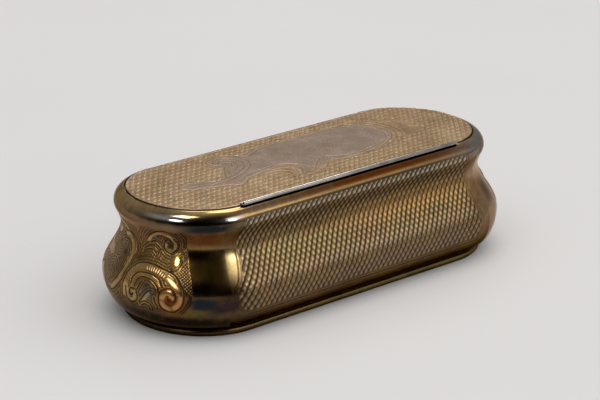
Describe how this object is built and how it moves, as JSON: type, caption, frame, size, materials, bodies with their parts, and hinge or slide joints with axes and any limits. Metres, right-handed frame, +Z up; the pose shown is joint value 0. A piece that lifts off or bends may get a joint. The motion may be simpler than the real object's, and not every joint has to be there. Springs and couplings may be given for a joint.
{
  "type": "oblong hinged etui",
  "caption": "Oblong silver-gilt etui with rounded ends, swelling sides on a foot band, a rolled rim and a flat flush lid that opens on a knuckled back hinge.",
  "frame": {"origin": "centre of the bounding box in plan, on the plane the foot band stands on", "axes": "+X along the case, -Y to the front with the thumb lip, +Z up"},
  "size_m": [0.0958, 0.0424, 0.0273],
  "materials": {
    "gilt_wall": "tarnished gilt, engine turned",
    "gilt_rim": "tarnished gilt, worn bright on the roll",
    "gilt_foot": "warm gilt, satin",
    "gilt_lid": "tarnished gilt, engine turned with a plain cartouche",
    "gilt_inside": "bright gilt, satin",
    "lip_silver": "worn silver, polished by use",
    "pin_steel": "drawn wire"
  },
  "bodies": {
    "box": {"body_wall": "gilt_wall", "base_plate": "gilt_inside", "foot_band": "gilt_foot", "rim_moulding": "gilt_rim", "box_hinge_bearer": "gilt_inside", "hinge_pin": "pin_steel", "pin_plug_left": "gilt_rim", "pin_plug_right": "gilt_rim", "box_knuckle_1": "gilt_rim", "box_knuckle_2": "gilt_rim", "box_knuckle_3": "gilt_rim", "box_knuckle_4": "gilt_rim", "box_knuckle_5": "gilt_rim"},
    "lid": {"lid_plate": "gilt_lid", "lid_flange": "gilt_inside", "lid_hinge_bearer": "gilt_inside", "thumb_lip": "lip_silver", "lid_knuckle_1": "gilt_rim", "lid_knuckle_2": "gilt_rim", "lid_knuckle_3": "gilt_rim", "lid_knuckle_4": "gilt_rim"}
  },
  "joints": [
    {"name": "lid_hinge", "type": "hinge", "parent": "box", "child": "lid", "pos_m": [0, 0.0166, 0.0254], "axis": [-1, 0, 0], "range_deg": [0, 100]}
  ]
}
